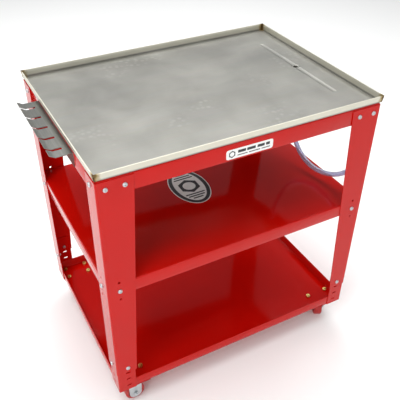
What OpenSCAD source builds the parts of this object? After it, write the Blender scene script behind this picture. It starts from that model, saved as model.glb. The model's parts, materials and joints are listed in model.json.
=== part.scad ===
// Three-level drain-table service cart: stainless drain tray on a bolted red sheet-steel frame,
// two shelves, a tool rack, a drain hose and four casters. Millimetres, Z up, floor at z = 0.

/* [Cart] */
// Width of the drain tray over its rim, left to right
tray_w = 850; // [700:10:1000]
// Depth of the drain tray over its rim, front to back
tray_d = 620; // [560:10:740]
// Height of the tray's rim above the floor
cart_h = 898; // [800:1:1000]
// How far the tray's rim stands out past the legs
tray_overhang = 2.5; // [1:0.5:6]

/* [Drain tray] */
// Sheet thickness of the tray
tray_t = 1.5; // [1:0.5:2]
// Height of the tray's rim above the top of the aprons
tray_rim_h = 22; // [16:1:40]
// How much the rim leans outwards from bottom to top
tray_flare = 2; // [0:0.5:5]
// Outer radius of the bend between floor and rim
tray_bend_r = 5; // [3:0.5:8]
// Height of the folded hem along the rim's top
hem_h = 6; // [3:1:10]
// Distance of the drain groove from the tray's middle
groove_x = 348; // [200:1:370]
// Half the length of the drain groove
groove_half = 190; // [80:5:220]
// Radius of the drain hole
drain_r = 7; // [5:0.5:8]

/* [Legs] */
// Sheet thickness of the legs
leg_t = 2; // [1.5:0.5:3]
// Outer bend radius of the legs
leg_bend_r = 5; // [4:0.5:8]
// Width of a leg's front or rear face at its top
leg_face_top = 98; // [80:1:120]
// Width of a leg's front or rear face at its lower end
leg_face_low = 62; // [50:1:80]
// Width of a leg's side face
leg_side = 66; // [50:1:80]
// Height of the legs' upper ends above the floor
leg_top_z = 871; // [780:1:980]
// Height of the legs' lower ends above the floor
leg_low_z = 177.5; // [150:0.5:185]

/* [Feet] */
// Sheet thickness of the foot brackets
foot_t = 2.5; // [2:0.5:4]
// Height of the foot brackets' upper ends above the floor
foot_top_z = 242; // [220:1:260]
// Width of a foot bracket's front or rear face
foot_face = 56; // [45:1:58]
// Width of a foot bracket's side face
foot_side = 60; // [45:1:62]
// Height of the bolt that joins leg and foot
foot_bolt_z = 197; // [190:1:205]
// Height of the highest adjusting slot
slot_top_z = 172; // [165:1:176]
// Distance between adjusting slots
slot_pitch = 29; // [20:1:32]

/* [Aprons] */
// Sheet thickness of the aprons
apron_t = 2; // [1.5:0.5:3]
// Height of an apron's web
apron_h = 51.5; // [45:0.5:60]
// Width of an apron's upper flange, which carries the tray
apron_top_flange = 25; // [15:1:30]
// Width of an apron's lower flange
apron_low_flange = 15; // [8:1:20]

/* [Shelves] */
// Sheet thickness of the shelves
shelf_t = 1.5; // [1:0.5:2]
// Height of the middle shelf's top above the floor
mid_shelf_z = 540; // [480:1:600]
// Depth of the middle shelf's turned-down lips
mid_lip = 40; // [35:1:50]
// Height of the bottom shelf's turned-up lips
low_lip = 34; // [25:1:45]

/* [Tool rack] */
// Length of the tool rack along the cart's left side
rack_len = 308; // [250:2:330]
// Height of the rack's plate above the floor
rack_z = 869.6; // [866:0.1:872]
// Reach of the rack's tips from the left apron
rack_reach = 59.1; // [50:0.1:70]
// Distance between the rack's slots
rack_pitch = 59.5; // [50:0.5:60]
// Width of a rack slot
rack_slot = 10; // [6:1:16]

/* [Casters] */
// Height of a caster, floor to mounting plate
caster_h = 93; // [92:1:96]
// Radius of a caster wheel
wheel_r = 31.5; // [28:0.5:33]
// Width of a caster wheel's tread
wheel_w = 27; // [22:1:27]
// Distance of a caster's middle from the leg's outer side face
caster_in_x = 60; // [56:1:70]
// Distance of a caster's middle from the leg's outer front or rear face
caster_in_y = 40; // [39:1:50]
// How far a swivel caster's wheel trails behind its pin
trail = 22; // [15:1:25]
// Direction in which the front swivel caster trails, turned from the cart's right
front_trail_turn = 60; // [0:5:180]
// Direction in which the rear swivel caster trails, turned from the cart's right
rear_trail_turn = 200; // [180:5:360]

/* [Drain hose] */
// Radius of the drain hose
hose_r = 8; // [7.5:0.5:8]

/* [Hidden] */
$fn = 48;
legs_w = tray_w - 2 * tray_overhang;
legs_d = tray_d - 2 * tray_overhang;

apron_top_z = cart_h - tray_rim_h;
apron_low_z = apron_top_z - apron_h;
apron_w = legs_w - 2 * leg_t;
apron_d = legs_d - 2 * leg_t;
// the aprons' ends stop short of the bends inside the legs
apron_end_gap = leg_bend_r - leg_t + 0.2;

foot_low_z = caster_h;
low_shelf_z = foot_low_z + foot_t;
low_shelf_w = legs_w - 2 * (leg_t + foot_t);
low_shelf_d = legs_d - 2 * (leg_t + foot_t);
shelf_corner_r = 6;

// the rack stands out on the left only, so the cart's middle lies right of the middle of its box
side_bolt_reach = legs_w / 2 + 4.5;
cart_x = (apron_w / 2 + rack_reach - side_bolt_reach) / 2;

bolt_r = 3;
bolt_head_r = 6.5;
bolt_head_h = 4.5;
bolt_hole_r = 3.5;
nut_r = 5.8;
nut_h = 5;
top_bolt_z = apron_top_z - 27;
top_bolt_x = [24, 73];
top_bolt_y = 37;
shelf_bolt_x = 35;
shelf_bolt_y = 42;
shelf_bolt_z = mid_shelf_z - 24;
spare_hole_step = 30;
foot_bolt_x = 35;
foot_bolt_y = 38;
slot_len = 14;
slot_r = 3;

drain_z = apron_top_z + tray_t;
groove_r = 22;
groove_depth = 2;
groove_axis_z = drain_z + groove_r - groove_depth;
pad_r = 12;
pad_z = drain_z - groove_depth;
pad_wall = 0.6 * tray_t;
spud_r = 14;
spud_bore_r = 8;
spud_low_z = apron_top_z - 22;
barb_low_z = spud_low_z - 34;
barb_bore_r = 4.75;

rack_t = 2;
rack_flange_h = 41;
rack_spine = 17.5;
rack_bend = 44;
rack_tip_rise = 8.5;
rack_screw_y = [-115, 0, 115];
rack_screw_z = rack_z - 24;

plate_w = 92;
plate_d = 64;
plate_t = 2.5;
plate_bolt_x = 73;
plate_bolt_y = 44.5;
caster_bolt_r = 4;
caster_nut_r = 7.5;
caster_nut_h = 6.5;
fork_t = 2.5;
fork_gap = 30;
axle_r = 4;
axle_z = wheel_r;
crown_r = 26;
crown_top_z = caster_h - plate_t - 6.4;
kingpin_r = 6;
ball_r = 3;
ball_ring_r = 17;
balls = 14;

label_w = 140;
label_h = 28;
label_x = -6;
label_z = apron_top_z - 31;
label_t = 0.5;

// the hose's middle line in the cart's own frame, from the barb down, along its sag and up to the clip
hose_route = [
    [348, 0, 846],
    [348, 0, 815],
    [350, 4, 780],
    [355, 9, 742],
    [360, 9, 704],
    [363, 1, 667],
    [363, -15, 633],
    [362, -40, 604],
    [363, -72, 583],
    [366, -108, 571],
    [373, -146, 568],
    [382, -183, 574],
    [392, -218, 590],
    [400, -247, 616],
    [404, -268, 648],
    [405, -280, 684],
    [405, -284, 721],
    [405, -284, 752],
];
hose_sides = 12;
clip_z = 724;
clip_h = 14;
clip_screw_y = -262;

red = "#c8302a";
zinc = "#c9ccd0";
yellow_zinc = "#d8cf8a";
steel = "#b4b4ae";

// ---------- placing ----------

// the cart's own frame, with x = 0 midway between the legs
module on_cart() {
    translate([cart_x, 0, 0]) children();
}

// a leg's outer corner as origin: x runs inwards along the wide face, y along the side face
module at_corner(right, rear) {
    on_cart() mirror([right, 0, 0]) mirror([0, rear, 0]) translate([-legs_w / 2, -legs_d / 2, 0])
        children();
}

module at_corners() {
    for (right = [0, 1], rear = [0, 1]) at_corner(right, rear) children();
}

// points a part's own z axis out through the wide face at x, z of a corner's frame
module out_front(x, z) {
    translate([x, 0, z]) rotate([90, 0, 0]) children();
}

// points a part's own z axis out through the side face at y, z of a corner's frame
module out_side(y, z) {
    translate([0, y, z]) rotate([0, -90, 0]) children();
}

// ---------- common shapes ----------

module round_rect(w, d, r) {
    square([w - 2 * r, d], center = true);
    square([w, d - 2 * r], center = true);
    for (x = [-1, 1], y = [-1, 1]) translate([x * (w / 2 - r), y * (d / 2 - r)]) circle(r);
}

// quarter of a tube that joins two flanges of a bent sheet
module sheet_bend(r, t, h) {
    translate([r, r, 0]) rotate([0, 0, 180]) rotate_extrude(angle = 90)
        translate([r - t, 0]) square([t, h]);
}

// cylinder through a wall, from depth inside its outer face to the outside
module drill(r, depth) {
    translate([0, 0, -depth]) cylinder(r = r, h = depth + 10);
}

module pan_bolt(grip) {
    cylinder(r1 = bolt_head_r, r2 = bolt_head_r - 2.5, h = bolt_head_h);
    translate([0, 0, -grip]) cylinder(r = bolt_r, h = grip + 0.1);
}

module hex_nut(r, h, hole_r) {
    difference() {
        cylinder(r = r, h = h, $fn = 6);
        translate([0, 0, -1]) cylinder(r = hole_r, h = h + 2);
    }
}

// nut on a bolt whose head sits outside a wall of the given thickness
module bolt_nut(wall) {
    translate([0, 0, -wall - nut_h]) hex_nut(nut_r, nut_h, bolt_r + 0.05);
}

// ---------- hole patterns, in a corner's frame ----------

module top_bolts() {
    for (x = top_bolt_x) out_front(x, top_bolt_z) children();
    out_side(top_bolt_y, top_bolt_z) children();
}

module shelf_bolt_places() {
    out_front(shelf_bolt_x, shelf_bolt_z) children();
    out_side(shelf_bolt_y, shelf_bolt_z) children();
}

module spare_hole_places() {
    for (s = [-1, 1]) {
        out_front(shelf_bolt_x, shelf_bolt_z + s * spare_hole_step) children();
        out_side(shelf_bolt_y, shelf_bolt_z + s * spare_hole_step) children();
    }
}

module foot_bolt_places() {
    out_front(foot_bolt_x, foot_bolt_z) children();
    out_side(foot_bolt_y, foot_bolt_z) children();
}

module slot_cut() {
    for (s = [-1, 1]) translate([s * (slot_len / 2 - slot_r), 0, 0]) drill(slot_r, 10);
    translate([-slot_len / 2 + slot_r, -slot_r, -10]) cube([slot_len - 2 * slot_r, 2 * slot_r, 20]);
}

module slot_cuts() {
    for (i = [0 : 2]) {
        out_front(foot_bolt_x, slot_top_z - i * slot_pitch) slot_cut();
        out_side(foot_bolt_y, slot_top_z - i * slot_pitch) rotate([0, 0, 90]) slot_cut();
    }
}

module caster_bolt_places() {
    for (x = [-1, 1], y = [-1, 1])
        translate([caster_in_x + x * plate_bolt_x / 2, caster_in_y + y * plate_bolt_y / 2, 0]) children();
}

// ---------- frame ----------

module leg(right, rear) {
    leg_h = leg_top_z - leg_low_z;
    color(red) at_corner(right, rear) difference() {
        union() {
            translate([0, 0, leg_low_z]) sheet_bend(leg_bend_r, leg_t, leg_h);
            translate([0, leg_t, 0]) rotate([90, 0, 0]) linear_extrude(leg_t) polygon([
                [leg_bend_r, leg_low_z],
                [leg_face_low, leg_low_z],
                [leg_face_top, leg_top_z],
                [leg_bend_r, leg_top_z],
            ]);
            translate([0, leg_bend_r, leg_low_z]) cube([leg_t, leg_side - leg_bend_r, leg_h]);
        }
        top_bolts() drill(bolt_hole_r, 10);
        shelf_bolt_places() drill(bolt_hole_r, 10);
        spare_hole_places() drill(bolt_hole_r, 10);
        foot_bolt_places() drill(bolt_hole_r, 10);
        if (right == 1 && rear == 0) translate([0, legs_d / 2 + clip_screw_y, clip_z]) rotate([0, -90, 0])
            drill(2.5, 10);
    }
}

// a foot flange: flat plate with one rounded upper corner, from the bend to its width
module foot_flange(w) {
    corner_r = 12;
    h = foot_top_z - foot_low_z;
    translate([foot_bend_r(), 0]) square([w - foot_bend_r(), h - corner_r]);
    translate([foot_bend_r(), 0]) square([w - foot_bend_r() - corner_r, h]);
    translate([w - corner_r, h - corner_r]) circle(corner_r);
}

function foot_bend_r() = leg_bend_r - leg_t + 1;

module foot(right, rear) {
    color(red) at_corner(right, rear) difference() {
        translate([leg_t, leg_t, foot_low_z]) union() {
            sheet_bend(foot_bend_r(), foot_t, foot_top_z - foot_low_z);
            translate([0, foot_t, 0]) rotate([90, 0, 0]) linear_extrude(foot_t) foot_flange(foot_face);
            rotate([90, 0, 90]) linear_extrude(foot_t) foot_flange(foot_side);
            translate([foot_t, foot_t, 0]) cube([
                caster_in_x + plate_w / 2 - leg_t - foot_t,
                caster_in_y + plate_d / 2 - leg_t - foot_t,
                foot_t
            ]);
        }
        foot_bolt_places() drill(bolt_hole_r, 10);
        slot_cuts();
        caster_bolt_places() cylinder(r = caster_bolt_r + 0.3, h = cart_h / 2, center = true);
    }
}

// C-shaped rail lying along x, its web's outer face at y = 0, flanges running towards +y
module apron_rail(web_len, flange_len) {
    translate([-web_len / 2, 0, apron_low_z]) cube([web_len, apron_t, apron_h]);
    translate([-flange_len / 2, 0, apron_top_z - apron_t]) cube([flange_len, apron_top_flange, apron_t]);
    translate([-flange_len / 2, 0, apron_low_z]) cube([flange_len, apron_low_flange, apron_t]);
}

module long_apron(rear) {
    rail_len = apron_w - 2 * apron_end_gap;
    color(red) difference() {
        on_cart() mirror([0, rear, 0]) translate([0, -apron_d / 2, 0]) apron_rail(rail_len, rail_len);
        at_corners() top_bolts() drill(bolt_hole_r, 4.5);
    }
}

module short_apron(right) {
    web_len = apron_d - 2 * apron_end_gap;
    flange_len = apron_d - 2 * apron_top_flange;
    color(red) difference() {
        on_cart() mirror([right, 0, 0]) translate([-apron_w / 2, 0, 0]) rotate([0, 0, -90])
            apron_rail(web_len, flange_len);
        at_corners() out_side(top_bolt_y, top_bolt_z) drill(bolt_hole_r, 10);
        if (right == 0) rack_screw_places() drill(2.7, 10);
    }
}

module mid_shelf() {
    color(red) difference() {
        on_cart() difference() {
            translate([0, 0, mid_shelf_z - mid_lip]) linear_extrude(mid_lip)
                round_rect(apron_w, apron_d, shelf_corner_r);
            translate([0, 0, mid_shelf_z - mid_lip - 1]) linear_extrude(mid_lip - shelf_t + 1)
                round_rect(apron_w - 2 * shelf_t, apron_d - 2 * shelf_t, shelf_corner_r - shelf_t);
        }
        at_corners() shelf_bolt_places() drill(bolt_hole_r, 10);
    }
}

module bottom_shelf() {
    color(red) difference() {
        on_cart() difference() {
            translate([0, 0, low_shelf_z]) linear_extrude(low_lip)
                round_rect(low_shelf_w, low_shelf_d, shelf_corner_r);
            translate([0, 0, low_shelf_z + shelf_t]) linear_extrude(low_lip)
                round_rect(low_shelf_w - 2 * shelf_t, low_shelf_d - 2 * shelf_t, shelf_corner_r - shelf_t);
        }
        at_corners() caster_bolt_places() cylinder(r = caster_bolt_r + 0.3, h = cart_h / 2, center = true);
    }
}

// ---------- drain tray and drain ----------

// cross-section of the tray's outside or inside: round bottom corners and leaning sides
module tray_profile(half_top, half_low, z0, z1, r) {
    polygon([
        [-half_low, z0 + r],
        [-half_top, z1],
        [half_top, z1],
        [half_low, z0 + r],
        [half_low - r, z0],
        [-half_low + r, z0],
    ]);
    for (s = [-1, 1]) translate([s * (half_low - r), z0 + r]) circle(r);
}

// a pan whose four sides share one cross-section; inset moves its walls inwards
module tray_block(inset, z0, z1, r) {
    intersection() {
        rotate([90, 0, 0]) linear_extrude(tray_d + 10, center = true)
            tray_profile(tray_w / 2 - inset, tray_w / 2 - tray_flare - inset, z0, z1, r);
        rotate([90, 0, 90]) linear_extrude(tray_w + 10, center = true)
            tray_profile(tray_d / 2 - inset, tray_d / 2 - tray_flare - inset, z0, z1, r);
    }
}

// the pressed groove: a round-bottomed channel with ball ends
module groove(r) {
    translate([groove_x, 0, groove_axis_z]) {
        rotate([90, 0, 0]) cylinder(r = r, h = 2 * groove_half, center = true);
        for (s = [-1, 1]) translate([0, s * groove_half, 0]) sphere(r);
    }
}

module below_floor() {
    translate([groove_x, 0, drain_z - 10]) cube([60, 2 * groove_half + 60, 20], center = true);
}

// the round pad pressed into the groove, its side sloping at 45 degrees up to the floor
module drain_pad(r, z) {
    h = groove_depth + tray_t / 2;
    translate([groove_x, 0, z]) cylinder(r1 = r, r2 = r + h, h = h);
}

module drain_tray() {
    floor_inset = tray_flare + tray_t;
    color(steel) on_cart() difference() {
        union() {
            difference() {
                tray_block(0, apron_top_z, cart_h, tray_bend_r);
                tray_block(2 * tray_t, drain_z, cart_h + 1, tray_bend_r - tray_t);
                translate([0, 0, drain_z]) linear_extrude(tray_rim_h - tray_t - hem_h)
                    round_rect(tray_w - 2 * floor_inset, tray_d - 2 * floor_inset, 2);
            }
            intersection() {
                groove(groove_r + tray_t);
                below_floor();
            }
            drain_pad(pad_r + pad_wall, pad_z - tray_t);
        }
        groove(groove_r);
        drain_pad(pad_r, pad_z);
        translate([groove_x, 0, pad_z - 10]) cylinder(r = drain_r, h = 20);
    }
}

module drain_spud() {
    spud_top_z = pad_z - tray_t;
    color(steel) on_cart() translate([groove_x, 0, 0]) difference() {
        union() {
            translate([0, 0, spud_low_z]) cylinder(r = spud_r - 3, h = spud_top_z - spud_low_z);
            translate([0, 0, spud_top_z - 5]) cylinder(r = spud_r, h = 5);
        }
        translate([0, 0, spud_low_z - 1]) cylinder(r = spud_bore_r, h = 30);
    }
}

module hose_barb() {
    hex_z = spud_low_z - 8;
    color("#b8a060") on_cart() translate([groove_x, 0, 0]) difference() {
        union() {
            translate([0, 0, hex_z]) cylinder(r = 12, h = 8, $fn = 6);
            translate([0, 0, spud_low_z]) cylinder(r = spud_bore_r - 0.05, h = 12);
            translate([0, 0, barb_low_z]) cylinder(r = 6, h = hex_z - barb_low_z);
            for (i = [0 : 2]) translate([0, 0, barb_low_z + 7 * i]) cylinder(r1 = 6, r2 = 6.8, h = 5);
        }
        translate([0, 0, barb_low_z - 1]) cylinder(r = barb_bore_r, h = 60);
    }
}

module hose_clamp() {
    z = hose_route[0][2] - 13;
    color(zinc) on_cart() translate([groove_x, 0, z]) {
        difference() {
            cylinder(r = hose_r + 1, h = 9);
            translate([0, 0, -1]) cylinder(r = hose_r, h = 11);
        }
        translate([hose_r + 0.8, -7, 0.5]) cube([6, 14, 8]);
        translate([hose_r + 3.8, 7, 4.5]) rotate([-90, 0, 0]) cylinder(r = 3.2, h = 5);
    }
}

// ---------- drain hose ----------

function unit(v) = v / norm(v);

function hose_dir(i) = unit(
    hose_route[min(i + 1, len(hose_route) - 1)] - hose_route[max(i - 1, 0)]
);

// one ring of points round the middle line; the route never runs along x
function hose_ring(i) = let (
    t = hose_dir(i),
    u = unit(cross(t, [1, 0, 0])),
    v = cross(t, u)
) [
    for (k = [0 : hose_sides - 1])
        hose_route[i] + hose_r * (cos(360 * k / hose_sides) * u + sin(360 * k / hose_sides) * v)
];

module drain_hose() {
    rings = len(hose_route);
    points = [for (i = [0 : rings - 1], p = hose_ring(i)) p];
    sides = [
        for (i = [0 : rings - 2], k = [0 : hose_sides - 1]) let (
            a = i * hose_sides + k,
            b = i * hose_sides + (k + 1) % hose_sides
        ) [a, a + hose_sides, b + hose_sides, b]
    ];
    first = [for (k = [0 : hose_sides - 1]) k];
    last = [for (k = [hose_sides - 1 : -1 : 0]) (rings - 1) * hose_sides + k];
    color("#dfe3e8") on_cart() polyhedron(points, concat(sides, [first, last]), convexity = 6);
}

// nylon clip that holds the hose's end inside the front right leg
module hose_clip() {
    hose_end = hose_route[len(hose_route) - 1];
    wall_x = legs_w / 2 - leg_t;
    color("#26282b") on_cart() difference() {
        union() {
            translate([hose_end[0], hose_end[1], clip_z - clip_h / 2]) cylinder(r = hose_r + 2, h = clip_h);
            translate([hose_end[0], hose_end[1] - 3, clip_z - clip_h / 2])
                cube([wall_x - hose_end[0], 6, clip_h]);
            translate([wall_x - 2.5, hose_end[1] - 3, clip_z - clip_h / 2]) cube([2.5, 32, clip_h]);
        }
        translate([hose_end[0], hose_end[1], clip_z - clip_h]) cylinder(r = hose_r + 0.5, h = 2 * clip_h);
        translate([wall_x - 10, clip_screw_y, clip_z]) rotate([0, 90, 0]) cylinder(r = 2.5, h = 20);
    }
}

module clip_screw() {
    color(zinc) on_cart() translate([legs_w / 2, clip_screw_y, clip_z]) rotate([0, 90, 0]) {
        cylinder(r = 4.5, h = 2.8);
        translate([0, 0, -10]) cylinder(r = 2, h = 10.1);
        translate([0, 0, -leg_t - 2.5 - 4]) hex_nut(4.6, 4, 2.05);
    }
}

// ---------- tool rack ----------

module rack_screw_places() {
    on_cart() for (y = rack_screw_y) translate([-apron_w / 2, y, rack_screw_z]) rotate([0, -90, 0])
        children();
}

// outline of the rack's end: flange against the apron, plate, and the tip bent upwards
module rack_section() {
    square([rack_t, rack_flange_h]);
    translate([0, rack_flange_h - rack_t]) square([rack_bend, rack_t]);
    translate([0, rack_flange_h]) polygon([
        [rack_bend, -rack_t],
        [rack_reach, rack_tip_rise - rack_t],
        [rack_reach - 0.8, rack_tip_rise],
        [rack_bend - 0.5, 0],
    ]);
}

module finger_rack() {
    color(steel) difference() {
        on_cart() translate([-apron_w / 2, 0, rack_z - rack_flange_h]) mirror([1, 0, 0]) difference() {
            union() {
                rotate([90, 0, 0]) linear_extrude(rack_len, center = true) rack_section();
                for (s = [-1, 1]) translate([0, s * (rack_len / 2 - rack_t / 2), 0]) rotate([90, 0, 0])
                    linear_extrude(rack_t, center = true)
                        polygon([[0, 0], [rack_t, 0], [rack_spine, rack_flange_h], [0, rack_flange_h]]);
            }
            for (i = [-2 : 2]) translate([rack_spine, i * rack_pitch - rack_slot / 2, rack_flange_h / 2])
                cube([rack_reach, rack_slot, rack_flange_h]);
        }
        rack_screw_places() drill(2.7, 10);
    }
}

module rack_screws() {
    color(zinc) rack_screw_places() translate([0, 0, rack_t]) {
        cylinder(r1 = 4.6, r2 = 3, h = 2.8);
        translate([0, 0, -12]) cylinder(r = 2.5, h = 12.1);
        translate([0, 0, -rack_t - apron_t - 4]) hex_nut(4.6, 4, 2.55);
    }
}

// ---------- casters: origin on the floor below the plate's middle ----------

module at_caster(right, rear) {
    at_corner(right, rear) translate([caster_in_x, caster_in_y, 0]) children();
}

// swivel casters keep their own turn and aren't mirrored
module at_swivel(rear) {
    on_cart() translate([
        legs_w / 2 - caster_in_x,
        (rear == 1 ? 1 : -1) * (legs_d / 2 - caster_in_y),
        0
    ]) children();
}

function trail_turn(rear) = rear == 1 ? rear_trail_turn : front_trail_turn;

module at_swivel_wheel(rear) {
    at_swivel(rear) rotate([0, 0, trail_turn(rear)]) translate([trail, 0, 0]) children();
}

module top_plate() {
    difference() {
        translate([0, 0, caster_h - plate_t]) linear_extrude(plate_t) round_rect(plate_w, plate_d, 6);
        for (x = [-1, 1], y = [-1, 1]) translate([x * plate_bolt_x / 2, y * plate_bolt_y / 2, 0])
            cylinder(r = caster_bolt_r + 0.3, h = 2 * caster_h);
    }
}

// two fork legs from a top edge at height z that runs x0 to x1, rounded to eye_r below the axle
module fork_legs(axle_x, x0, x1, z, eye_r) {
    for (s = [-1, 1]) translate([0, s * (fork_gap + fork_t) / 2, 0]) rotate([90, 0, 0])
        linear_extrude(fork_t, center = true) {
            polygon([[x0, z], [axle_x - eye_r, axle_z], [axle_x + eye_r, axle_z], [x1, z]]);
            translate([axle_x, axle_z]) circle(eye_r);
        }
}

module axle_bore(axle_x) {
    translate([axle_x, 0, axle_z]) rotate([90, 0, 0]) cylinder(r = axle_r + 0.05, h = 80, center = true);
}

module caster_frame(rear) {
    color(zinc) at_caster(0, rear) difference() {
        union() {
            top_plate();
            fork_legs(0, -22, 22, caster_h - plate_t / 2, 20);
        }
        axle_bore(0);
    }
}

module swivel_plate(rear) {
    color(zinc) at_swivel(rear) difference() {
        union() {
            top_plate();
            translate([0, 0, crown_top_z + 1]) difference() {
                cylinder(r = crown_r - 2, h = caster_h - plate_t - crown_top_z - 0.5);
                translate([0, 0, -1]) cylinder(r = crown_r - 4, h = 20);
            }
        }
        cylinder(r = kingpin_r, h = 2 * caster_h);
    }
}

module kingpin(rear) {
    shoulder_z = crown_top_z - fork_t - 0.3;
    color(zinc) at_swivel(rear) {
        translate([0, 0, shoulder_z - 3]) cylinder(r = 10, h = 3);
        translate([0, 0, shoulder_z - 0.2]) cylinder(r = kingpin_r, h = caster_h - shoulder_z + 0.2);
    }
}

module bearing_balls(rear) {
    color(zinc) at_swivel(rear) for (i = [0 : balls - 1]) rotate([0, 0, i * 360 / balls])
        translate([ball_ring_r, 0, caster_h - plate_t - ball_r - 0.1]) sphere(ball_r);
}

module swivel_fork(rear) {
    color(zinc) at_swivel(rear) rotate([0, 0, trail_turn(rear)]) difference() {
        union() {
            translate([0, 0, crown_top_z - fork_t]) cylinder(r = crown_r, h = fork_t);
            fork_legs(trail, -18, trail + 10, crown_top_z - fork_t / 2, 13);
        }
        translate([0, 0, caster_h / 2]) cylinder(r = kingpin_r + 0.08, h = caster_h);
        axle_bore(trail);
    }
}

module wheel_shape() {
    edge_r = 5;
    boss_r = 10;
    color("#b3201d") translate([0, 0, axle_z]) rotate([90, 0, 0]) difference() {
        union() {
            rotate_extrude() {
                translate([0, -wheel_w / 2 + edge_r]) square([wheel_r, wheel_w - 2 * edge_r]);
                translate([0, -wheel_w / 2]) square([wheel_r - edge_r, wheel_w]);
                for (s = [-1, 1]) translate([wheel_r - edge_r, s * (wheel_w / 2 - edge_r)]) circle(edge_r);
            }
            cylinder(r = boss_r, h = fork_gap - 1, center = true);
        }
        cylinder(r = 6, h = 60, center = true);
    }
}

module bushing_shape() {
    color(zinc) translate([0, 0, axle_z]) rotate([90, 0, 0]) difference() {
        cylinder(r = 6, h = fork_gap - 0.6, center = true);
        cylinder(r = axle_r + 0.06, h = 60, center = true);
    }
}

module axle_shape() {
    outer = fork_gap / 2 + fork_t;
    color(zinc) translate([0, 0, axle_z]) rotate([90, 0, 0]) {
        cylinder(r = axle_r, h = 2 * outer + 16, center = true);
        translate([0, 0, outer]) cylinder(r = 7.5, h = 5, $fn = 6);
        translate([0, 0, -outer - 6.5]) hex_nut(7.5, 6.5, axle_r);
    }
}

// ---------- fasteners ----------

module apron_bolts() {
    color(zinc) at_corners() top_bolts() pan_bolt(leg_t + apron_t + 7);
}

module apron_nuts() {
    color(zinc) at_corners() top_bolts() bolt_nut(leg_t + apron_t);
}

module shelf_bolts() {
    color(zinc) at_corners() shelf_bolt_places() pan_bolt(leg_t + shelf_t + 7);
}

module shelf_nuts() {
    color(zinc) at_corners() shelf_bolt_places() bolt_nut(leg_t + shelf_t);
}

module foot_bolts() {
    color(zinc) at_corners() foot_bolt_places() pan_bolt(leg_t + foot_t + 7);
}

module foot_nuts() {
    color(zinc) at_corners() foot_bolt_places() bolt_nut(leg_t + foot_t);
}

module caster_bolts() {
    head_h = 4.5;
    head_z = caster_h - plate_t - head_h;
    color(yellow_zinc) at_corners() caster_bolt_places() {
        translate([0, 0, head_z]) cylinder(r = 7, h = head_h);
        translate([0, 0, head_z + head_h - 0.1])
            cylinder(r = caster_bolt_r, h = low_shelf_z + shelf_t + caster_nut_h + 2 - head_z - head_h);
    }
}

module caster_nuts() {
    color(yellow_zinc) at_corners() caster_bolt_places() translate([0, 0, low_shelf_z + shelf_t])
        hex_nut(caster_nut_r, caster_nut_h, caster_bolt_r + 0.05);
}

// ---------- plate ----------

module data_plate() {
    color("white") on_cart() translate([label_x, -apron_d / 2, label_z]) rotate([90, 0, 0])
        linear_extrude(label_t) round_rect(label_w, label_h, 3);
}

// ---------- nodes ----------

leg(0, 0);  // leg_front_left
leg(1, 0);  // leg_front_right
leg(0, 1);  // leg_rear_left
leg(1, 1);  // leg_rear_right
foot(0, 0);  // foot_front_left
foot(1, 0);  // foot_front_right
foot(0, 1);  // foot_rear_left
foot(1, 1);  // foot_rear_right
long_apron(0);  // apron_front
long_apron(1);  // apron_rear
short_apron(0);  // apron_left
short_apron(1);  // apron_right
mid_shelf();
bottom_shelf();
drain_tray();
finger_rack();
drain_spud();
hose_barb();
hose_clamp();
drain_hose();
hose_clip();
caster_frame(0);  // caster_frame_front_left
caster_frame(1);  // caster_frame_rear_left
swivel_plate(0);  // swivel_plate_front_right
swivel_plate(1);  // swivel_plate_rear_right
swivel_fork(0);  // swivel_fork_front_right
swivel_fork(1);  // swivel_fork_rear_right
kingpin(0);  // kingpin_front_right
kingpin(1);  // kingpin_rear_right
bearing_balls(0);  // bearing_balls_front_right
bearing_balls(1);  // bearing_balls_rear_right
at_caster(0, 0) wheel_shape();  // wheel_front_left
at_caster(0, 1) wheel_shape();  // wheel_rear_left
at_swivel_wheel(0) wheel_shape();  // wheel_front_right
at_swivel_wheel(1) wheel_shape();  // wheel_rear_right
at_caster(0, 0) bushing_shape();  // bushing_front_left
at_caster(0, 1) bushing_shape();  // bushing_rear_left
at_swivel_wheel(0) bushing_shape();  // bushing_front_right
at_swivel_wheel(1) bushing_shape();  // bushing_rear_right
at_caster(0, 0) axle_shape();  // axle_front_left
at_caster(0, 1) axle_shape();  // axle_rear_left
at_swivel_wheel(0) axle_shape();  // axle_front_right
at_swivel_wheel(1) axle_shape();  // axle_rear_right
apron_bolts();
apron_nuts();
shelf_bolts();
shelf_nuts();
foot_bolts();
foot_nuts();
caster_bolts();
caster_nuts();
rack_screws();
clip_screw();
data_plate();
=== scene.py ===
"""A three-level workshop drain cart: a stainless drain tray on a bolted red sheet-steel frame, with two
shelves, a finger rack, a clear drain hose and four small casters. Metres, Z up, floor at z = 0."""

import json
import math

import bmesh
import bpy
from mathutils import Matrix, Vector


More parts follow.
